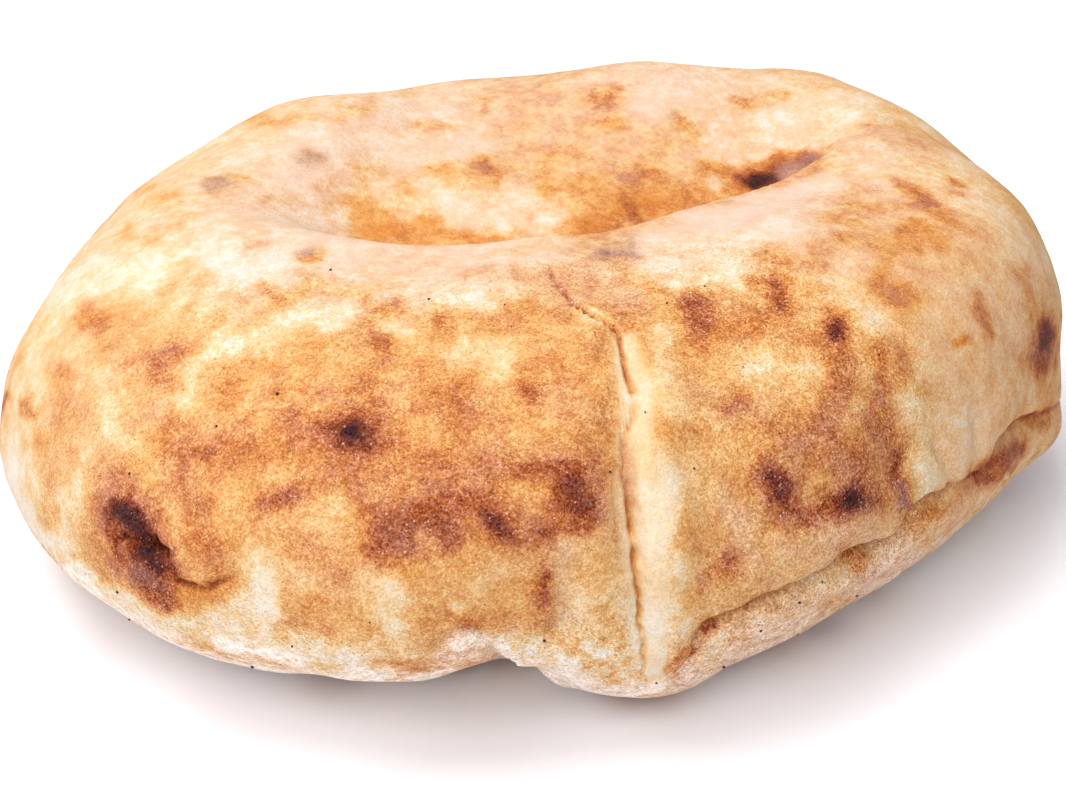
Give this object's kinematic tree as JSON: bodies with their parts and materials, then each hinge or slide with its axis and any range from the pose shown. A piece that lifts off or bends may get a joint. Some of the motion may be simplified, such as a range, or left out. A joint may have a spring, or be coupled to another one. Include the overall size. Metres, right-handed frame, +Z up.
{
  "type": "flatbread",
  "caption": "Puffed round flatbread baked in a wood-fired oven, whole and uncut, with a sunken middle, a split down the front and a folded seam at the foot.",
  "frame": {"origin": "middle of the bread's box at the level of the flat underside, which is the surface it lies on", "axes": "+Z up from the underside to the browned top; +X along the longest way across; -Y towards the side with the deep split, which the picture shows"},
  "size_m": [0.2046, 0.193, 0.0687],
  "materials": {
    "crust": "matte baked crust, golden to brown with charred spots and a little flour"
  },
  "bodies": {
    "root": {"flatbread": "crust"}
  },
  "joints": []
}
